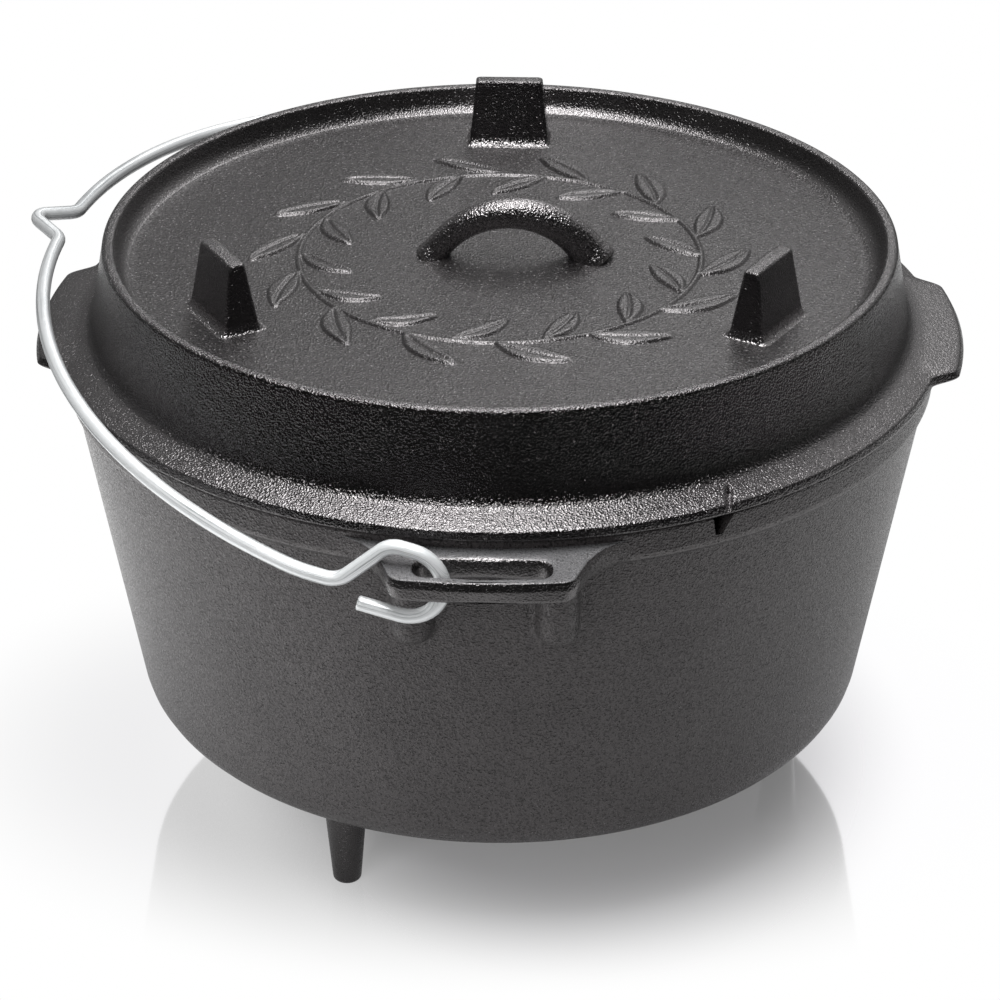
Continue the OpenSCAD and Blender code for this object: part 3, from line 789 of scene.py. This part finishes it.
# %% Wreath
STEM_R = 0.0715
LEAF_COUNT = 14
LEAF_L = 0.030
LEAF_W = 0.0052
LEAF_LEAN = math.radians(38)
LEAF_BEVEL = 0.0012
LEAF_POWER = 0.9
LEAF_BACK = 0.1
VEIN_DEEP, VEIN_FLAT, VEIN_HALF = 0.0006, 0.0003, 0.0009
VEIN_FROM, VEIN_FULL = 0.002, 0.006
STEM_FLAT, STEM_HALF = 0.0004, 0.0013
RING_IN_R, RING_OUT_R = 0.047, 0.0965
RELIEF_H = 0.0012
STEM_H = 0.8 * RELIEF_H
RELIEF_SUNK = 0.0001
RELIEF_LOW_Z = TRAY_Z - 0.0008


def leaf_height(r, angle, side, offset):
    """Height of one leaf per sector: it is full inside the outline and falls off over its bevel.

    In a leaf's own axes, s along and t across, the outline is |t| = LEAF_W * sin(pi s / LEAF_L) to
    a power, and a groove along t = 0 is its vein.
    """
    sector = 2 * math.pi / LEAF_COUNT
    back = LEAF_BACK * sector
    u = STEM_R * (np.mod(angle - offset * sector + back, sector) - back)
    v = side * (r - STEM_R)
    s = u * math.cos(LEAF_LEAN) + v * math.sin(LEAF_LEAN)
    t = np.abs(v * math.cos(LEAF_LEAN) - u * math.sin(LEAF_LEAN))
    half = LEAF_W * np.sin(math.pi * np.clip(s / LEAF_L, 0, 1)) ** LEAF_POWER
    full = RELIEF_H * smooth(half - t, 0, LEAF_BEVEL)
    vein = VEIN_DEEP * (1 - smooth(t, VEIN_FLAT, VEIN_HALF)) * smooth(s, VEIN_FROM, VEIN_FULL)
    return np.clip(full - vein, 0, None)


ring_r = np.linspace(RING_IN_R, RING_OUT_R, 100)[None, :]
ring_angle = np.radians(np.arange(0, 360, 0.5))[:, None]
stem = STEM_H * (1 - smooth(np.abs(ring_r - STEM_R) + 0 * ring_angle, STEM_FLAT, STEM_HALF))
leaves = np.maximum(leaf_height(ring_r, ring_angle, 1, 0), leaf_height(ring_r, ring_angle, -1, 0.5))
relief_z = TRAY_Z - RELIEF_SUNK + np.maximum(stem, leaves)
wreath = np.stack([ring_r * np.sin(ring_angle), -ring_r * np.cos(ring_angle), relief_z], -1)
under = wreath[:, [-1, 0]] * np.array([1, 1, 0]) + np.array([0, 0, RELIEF_LOW_Z])
lid_wreath = grid_piece("lid_wreath", np.concatenate([wreath, under], 1), True, True)
place(lid_wreath, "lid", RELIEF_AND_SHADED_FOOT_IRON)

# %% [markdown]
# ## The bail
#
# The bail is one length of galvanised wire, bent in a jig. It could be drawn as a curve with a
# bevel, but a bender works in steps: run straight, roll the wire, bend it round a pin. The same
# steps give the middle line here, and a circle is carried along it without twisting.

# %% Bail sizes
WIRE_R = 0.0025
BAIL_LEAN = math.radians(12.2)
PIVOT = np.array([0.0264001, 0.1664])
PIVOT_Z = EAR_TOP_Z - EAR_T / 2
HALF_SPAN = float(np.hypot(*PIVOT))
PIVOT_TURN = math.atan2(*PIVOT)
TRIANGLE = math.atan2(4, 3)
ARM_TILT = math.acos(0.99863)
KINK_TIP_R, KINK_SIDE, KINK_FOOT_R = 0.004, 0.0095, 0.006
ARM_LEAD, WRIST_RUN, WRIST_R, NECK_LEAD = 0.003, 0.003, 0.040, 0.0035
NECK_FOOT_R, NECK_TOP_R, TOP_LEG, TAIL = 0.009, 0.007, 0.0044, 0.014
END_BAR_W = 0.0108003
HOOK_PLAY = 0.0005
HOOK_ROOM = 0.0025
HOOK_TOP = math.hypot(END_BAR_W / 2, EAR_T / 2) + HOOK_PLAY + WIRE_R
HOOK_R = HOOK_TOP + HOOK_ROOM
HOOK_THROAT = 0.0026
QUARTER = math.pi / 2
RUN_STEP, BEND_STEP = 0.0015, 0.0022

# headings after the kink's tip, the kink's foot and the arm, against the line between the hooks
side_h = TRIANGLE
lead_h = side_h - (6 * TRIANGLE - 3 * QUARTER)
wrist_h = lead_h + 3 * TRIANGLE - QUARTER
# what the kink and the wrist cover of the half span is left off, and the arm's arc covers the rest
kink_span = (KINK_TIP_R * math.sin(side_h) + KINK_SIDE * math.cos(side_h)
             + KINK_FOOT_R * (math.sin(side_h) - math.sin(lead_h)) + ARM_LEAD * math.cos(lead_h))
wrist_span = WRIST_RUN * math.cos(wrist_h) + WRIST_R * (1 - math.sin(wrist_h))
arm_span = HALF_SPAN / math.cos(ARM_TILT) - kink_span - wrist_span
arm_r = arm_span / (math.sin(wrist_h) - math.sin(lead_h))
neck_l = (HOOK_TOP + HALF_SPAN * math.tan(ARM_TILT)
          - (NECK_FOOT_R + NECK_TOP_R) * (1 - math.cos(TRIANGLE))) / math.sin(TRIANGLE)

# (straight run, roll before the bend, bend radius, turn of the bend)
half_wire = [
    (0, 0, KINK_TIP_R, TRIANGLE),
    (KINK_SIDE, math.pi, KINK_FOOT_R, 6 * TRIANGLE - 3 * QUARTER),
    (ARM_LEAD, math.pi, arm_r, 3 * TRIANGLE - QUARTER),
    (WRIST_RUN, 0, WRIST_R, 2 * TRIANGLE - QUARTER),
    (NECK_LEAD, QUARTER - ARM_TILT, NECK_FOOT_R, TRIANGLE),
    (neck_l, math.pi, NECK_TOP_R, TRIANGLE),
    (TOP_LEG, 0, HOOK_R, math.pi),
    (TAIL, 0, 0, 0),
]
print("the arm bends at", round(arm_r, 4), "m, and the neck runs", round(neck_l, 4), "m")

# %% Bail line
def bent_wire(steps):
    """Middle line of a half wire from the kink's tip.

    Each bend is its start plus r times (side * (1 - cos a) + ahead * sin a), for a up to its turn.
    """
    here, ahead, side = np.zeros(3), np.array([0, -1.0, 0]), np.array([1.0, 0, 0])
    line = [here[None]]
    for run, roll, radius, turn in steps:
        if run:
            parts = max(2, math.ceil(run / RUN_STEP))
            line.append(here + ahead * run * np.linspace(0, 1, parts + 1)[1:, None])
            here = here + ahead * run
        up = np.cross(ahead, side)
        side = side * math.cos(roll) + up * math.sin(roll)
        if turn:
            angle = np.linspace(0, turn, max(8, math.ceil(radius * turn / BEND_STEP)) + 1)[1:, None]
            line.append(here + radius * (side * (1 - np.cos(angle)) + ahead * np.sin(angle)))
            here = line[-1][-1]
            ahead, side = (ahead * math.cos(turn) + side * math.sin(turn),
                           side * math.cos(turn) - ahead * math.sin(turn))
    return np.vstack(line)


half_line = bent_wire(half_wire)
# the middle of the hook's bend lies HOOK_THROAT beyond the pivot line
hook_x = half_line[:, 0].max() - HOOK_R
half_line = (half_line - np.array([hook_x - HOOK_THROAT, 0, 0])) @ spin_about(0, ARM_TILT).T
other_half = half_line * np.array([1, -1, -1])
wire_line = np.vstack([half_line[::-1], other_half[1:]])
stance = spin_about(2, -PIVOT_TURN) @ spin_about(1, BAIL_LEAN)
wire_line = wire_line @ stance.T + np.array([0, 0, PIVOT_Z])
print("the wire's middle line has", len(wire_line), "points")

# %% Bail wire
CUT_BEVEL = 0.16


def tube(line, radius, around=20):
    """A circle carried along a line: each frame is the last one turned by the least amount."""
    ahead = np.gradient(line, axis=0)
    ahead /= np.linalg.norm(ahead, axis=1)[:, None]
    normal = np.empty_like(ahead)
    first = np.cross(ahead[0], [0, 0, 1.0])
    normal[0] = first / np.linalg.norm(first)
    for k in range(1, len(line)):
        flat = normal[k - 1] - ahead[k] * (normal[k - 1] @ ahead[k])
        normal[k] = flat / np.linalg.norm(flat)
    binormal = np.cross(ahead, normal)
    angle = np.linspace(0, 2 * math.pi, around + 1)[:-1]
    ring = normal[:, None] * np.cos(angle)[:, None] + binormal[:, None] * np.sin(angle)[:, None]
    body = line[:, None] + radius * ring
    # the cut ends: a small bevel, then a flat face
    face_r = (1 - CUT_BEVEL) * radius
    head = [line[:1, None] + 0 * ring[:1], line[:1, None] + face_r * ring[:1]]
    tail = [line[-1:, None] + face_r * ring[-1:], line[-1:, None] + 0 * ring[-1:]]
    body[0] += ahead[0] * radius * CUT_BEVEL
    body[-1] -= ahead[-1] * radius * CUT_BEVEL
    return np.concatenate(head + [body] + tail, 0)


bail_wire = grid_piece("bail_wire", tube(wire_line, WIRE_R), False, True)

# %% [markdown]
# ## Galvanised wire
#
# Zinc on drawn wire is bright but not a mirror: faint lines run along it from the die, and the zinc
# has soft cloudy spangle. Its colour is darker round the kink. A pattern in space would cut across
# the wire, so the lines read a coordinate that the mesh carries: the length along the wire and the
# share of the way up its side.

# %% Wire finish
def zinc(name, middle):
    """Bright metal: streaks along the wire and spangle vary its colour, roughness and relief.

    Near the middle of the wire the colour is multiplied by a darker share.
    """
    material = bpy.data.materials.new(name)
    material.use_nodes = True
    tree = material.node_tree
    shader = tree.nodes["Principled BSDF"]
    link = tree.links.new
    where = tree.nodes.new("ShaderNodeTexCoord").outputs["Object"]
    along = tree.nodes.new("ShaderNodeUVMap").outputs["UV"]
    stretch = node_of(tree, "ShaderNodeMapping", Scale=(12.0, 7.0, 1.0))
    link(along, stretch.inputs["Vector"])
    streaks = node_of(tree, "ShaderNodeTexNoise", Scale=1.0, Detail=3.0, Roughness=0.6)
    link(stretch.outputs["Vector"], streaks.inputs["Vector"])
    spangle = node_of(tree, "ShaderNodeTexNoise", Scale=420.0, Detail=2.0, Roughness=0.5)
    link(where, spangle.inputs["Vector"])
    tone = ramp(tree, streaks.outputs["Fac"], [(0.34, (0.38, 0.40, 0.41)), (0.48, (0.89, 0.91, 0.92))])
    axes = tree.nodes.new("ShaderNodeSeparateXYZ")
    link(along, axes.inputs["Vector"])
    from_kink = scalar(tree, "ABSOLUTE", scalar(tree, "SUBTRACT", axes.outputs["X"], middle), 0.0)
    darker_middle = eased(tree, from_kink, 0.05, 0.20, 0.58, 1.0)
    link(blended(tree, "MULTIPLY", tone.outputs["Color"], darker_middle), shader.inputs["Base Color"])
    gloss = ramp(tree, spangle.outputs["Fac"], [(0.35, 0.30), (0.65, 0.44)])
    link(gloss.outputs["Color"], shader.inputs["Roughness"])
    relief = node_of(tree, "ShaderNodeBump", Strength=0.5, Distance=0.00012)
    link(streaks.outputs["Fac"], relief.inputs["Height"])
    link(relief.outputs["Normal"], shader.inputs["Normal"])
    shader.inputs["Metallic"].default_value = 0.42
    return material


def wrap_uv(piece, line, radius):
    """UV map of a wire: U is metres along its middle line, V the share of the way up its side.

    The wire's length comes back.
    """
    mesh = piece.data
    spots = np.empty(len(mesh.vertices) * 3)
    mesh.vertices.foreach_get("co", spots)
    spots = spots.reshape(-1, 3)
    nearest = ((spots[:, None] - line) ** 2).sum(-1).argmin(1)
    length = np.concatenate([[0], np.cumsum(np.linalg.norm(np.diff(line, axis=0), axis=1))])
    up_share = 0.5 + 0.5 * (spots - line[nearest])[:, 2] / radius
    uv = np.stack([length[nearest], up_share], -1).astype(np.float32)
    corner = np.empty(len(mesh.loops), dtype=np.int64)
    mesh.loops.foreach_get("vertex_index", corner)
    layer = mesh.uv_layers.new(name="along_wire")
    layer.data.foreach_set("uv", uv[corner].ravel())
    return float(length[-1])


wire_l = wrap_uv(bail_wire, wire_line, WIRE_R)
place(bail_wire, "bail", zinc("galvanised_wire", wire_l / 2), "bail")
print("wire runs", round(wire_l, 3), "m")

# %% [markdown]
# ## Floor
#
# The oven stands on a white glossy table in a bright studio. The floor is white as the camera sees
# it, and keeps the oven's shadow and a faint mirror image. A plain white plane would do for the eye,
# but the iron mirrors the table as well, so what the iron sees of it has a brightness of its own: a
# painted glow, brighter at the oven's left as painted light and dimmer under the oven as painted
# shade.

# %% Floor finish
def length_of(tree, source):
    """The length of a vector socket."""
    node = tree.nodes.new("ShaderNodeVectorMath")
    node.operation = "LENGTH"
    tree.links.new(source, node.inputs[0])
    return node.outputs["Value"]


def mixed(tree, share, first, second):
    """A mix of two shader nodes: share, a number or a socket, is the second one's part."""
    node = tree.nodes.new("ShaderNodeMixShader")
    if isinstance(share, float):
        node.inputs["Fac"].default_value = share
    else:
        tree.links.new(share, node.inputs["Fac"])
    tree.links.new(first.outputs[0], node.inputs[1])
    tree.links.new(second.outputs[0], node.inputs[2])
    return node


def table_white():
    """White, a little glossy: lit and shaded near the oven, plain white beyond it.

    Seen by the camera, the plain white has strength 1. To other rays it is a painted glow that
    stands in for the lit table: painted light round the oven, most of all at its left, and painted
    shade under the oven, with the glow dim far off and in front.
    """
    material = bpy.data.materials.new("white_table")
    material.use_nodes = True
    tree = material.node_tree
    link = tree.links.new
    where = tree.nodes.new("ShaderNodeTexCoord").outputs["Object"]
    shade_zone = node_of(tree, "ShaderNodeMapping", Scale=(1.10, 0.95, 1.0), Location=(-0.030, 0, 0))
    far_zone = node_of(tree, "ShaderNodeMapping", Location=(-0.12, 0, 0))
    mirror_zone = node_of(tree, "ShaderNodeMapping", Scale=(0.7, 1.0, 1.0))
    for zone in (shade_zone, mirror_zone, far_zone):
        link(where, zone.inputs["Vector"])
    axes = tree.nodes.new("ShaderNodeSeparateXYZ")
    link(where, axes.inputs["Vector"])

    rays = tree.nodes.new("ShaderNodeLightPath")
    front = eased(tree, axes.outputs["Y"], -0.48, -0.20, 0.02, 1.0)
    # painted light: the glow the iron sees is twice as bright at the oven's left
    left = eased(tree, axes.outputs["X"], -0.30, 0.05, 2.0, 1.0)
    far = eased(tree, length_of(tree, far_zone.outputs["Vector"]), 0.30, 0.75, 1.0, 0.08)
    # painted shade: the glow the iron sees dims under and round the oven
    close = eased(tree, length_of(tree, where), 0.12, 0.32, 0.45, 1.0)
    mirrored = scalar(tree, "MULTIPLY", front, left)
    for share in (far, close):
        mirrored = scalar(tree, "MULTIPLY", mirrored, share)
    glow = tree.nodes.new("ShaderNodeEmission")
    strength = tree.nodes.new("ShaderNodeMix")
    link(rays.outputs["Is Camera Ray"], strength.inputs["Factor"])
    link(mirrored, strength.inputs[2])
    strength.inputs[3].default_value = 1.0
    link(strength.outputs[0], glow.inputs["Strength"])

    lit = node_of(tree, "ShaderNodeBsdfDiffuse", Color=(0.80, 0.79, 0.82, 1))
    mirror = node_of(tree, "ShaderNodeBsdfGlossy", Color=(0.97, 0.96, 0.99, 1), Roughness=0.06)
    shaded = mixed(tree, 0.28, lit, glow)
    plain = eased(tree, length_of(tree, shade_zone.outputs["Vector"]), 0.085, 0.150, 0.0, 1.0)
    matt = mixed(tree, plain, shaded, glow)
    polish = eased(tree, length_of(tree, mirror_zone.outputs["Vector"]), 0.090, 0.165, 0.42, 0.0)
    link(mixed(tree, polish, matt, mirror).outputs[0], tree.nodes["Material Output"].inputs["Surface"])
    return material


print("floor finish ready")

# %% Floor
FLOOR_HALF = 4
TABLE_Z = -0.0002
span = np.linspace(-FLOOR_HALF, FLOOR_HALF, 3)
floor_grid = np.stack([*np.meshgrid(span, span, indexing="ij"), np.full((3, 3), TABLE_Z)], -1)
floor = grid_piece("floor", floor_grid, False, False)
floor.data.materials.append(table_white())

# %% [markdown]
# ## Light
#
# A long lamp hangs above and a small one behind, and they draw the highlights on the edges that face
# up. A third in front does what a white card would: it lifts the matt colour, and the iron doesn't
# mirror it. The room is bright behind the oven and dim in front, so that upright faces go black. An
# even white room would be simpler, but it would turn every face of the iron the same grey.

# %% Lamps
def soft_lamp(name, place_at, aim, wide, long, watts):
    """A rectangular area lamp that faces a point."""
    lamp = bpy.data.lights.new(name, "AREA")
    lamp.shape = "RECTANGLE"
    lamp.size, lamp.size_y, lamp.energy = wide, long, watts
    thing = bpy.data.objects.new(name, lamp)
    bpy.context.scene.collection.objects.link(thing)
    thing.location = place_at
    thing.rotation_euler = (Vector(aim) - Vector(place_at)).to_track_quat("-Z", "Y").to_euler()
    return thing


soft_lamp("overhead", (-0.10, -0.10, 1.40), (-0.10, 0, 0.12), wide=0.42, long=1.2, watts=22)
soft_lamp("back_top", (0.17, 0.85, 1.12), (0.17, 0, 0.12), wide=0.42, long=0.6, watts=3.2)
front_fill = soft_lamp("front_fill", (-0.55, -1.25, 0.80), (0, 0, 0.10), wide=0.8, long=0.8, watts=13)
front_fill.visible_glossy = False
print("three lamps made")

# %% Sky
FILL_SHARE = 0.8
world = bpy.data.worlds.new("studio")
bpy.context.scene.world = world
world.use_nodes = True
sky = world.node_tree
rays = sky.nodes.new("ShaderNodeLightPath")
toward = sky.nodes.new("ShaderNodeSeparateXYZ")
sky.links.new(sky.nodes.new("ShaderNodeTexCoord").outputs["Generated"], toward.inputs["Vector"])
behind = scalar(sky, "MULTIPLY", eased(sky, toward.outputs["Y"], -0.10, 0.75, 0.01, 1.0),
                eased(sky, toward.outputs["Z"], 0.32, 0.52, 0.40, 1.0))
behind = scalar(sky, "MULTIPLY", behind, eased(sky, toward.outputs["X"], -0.25, 0.05, 0.5, 1.0))
mirrored = scalar(sky, "MULTIPLY", rays.outputs["Is Glossy Ray"], behind)
straight = scalar(sky, "MAXIMUM", rays.outputs["Is Camera Ray"], rays.outputs["Is Transmission Ray"])
shown = scalar(sky, "MAXIMUM", straight, mirrored)
fill = scalar(sky, "MULTIPLY", behind, FILL_SHARE)
sky.links.new(scalar(sky, "MAXIMUM", shown, fill), sky.nodes["Background"].inputs["Strength"])
sky.nodes["Background"].inputs["Color"].default_value = (1, 1, 1, 1)
print("sky made")

# %% [markdown]
# ## Camera
#
# The oven is seen from a little above and from far off through a long lens, which keeps its sides
# nearly upright. The place, the aim and the lens could be set by eye. Here they were fitted, so that
# the ellipses of the rim, the brim and the collar fall where the photograph has them.

# %% Camera
AIM = Vector((0, 0, 0.10466))
camera = bpy.data.cameras.new("camera")
camera.sensor_width, camera.lens = 36.0, 128.0
viewer = bpy.data.objects.new("camera", camera)
bpy.context.scene.collection.objects.link(viewer)
viewer.location = (0.0382, -1.1520, 0.7305)
viewer.rotation_euler = (AIM - viewer.location).to_track_quat("-Z", "Y").to_euler()
bpy.context.scene.camera = viewer
bpy.context.scene.view_settings.view_transform = "Standard"
print("the camera stands", round((AIM - viewer.location).length, 3), "m off")
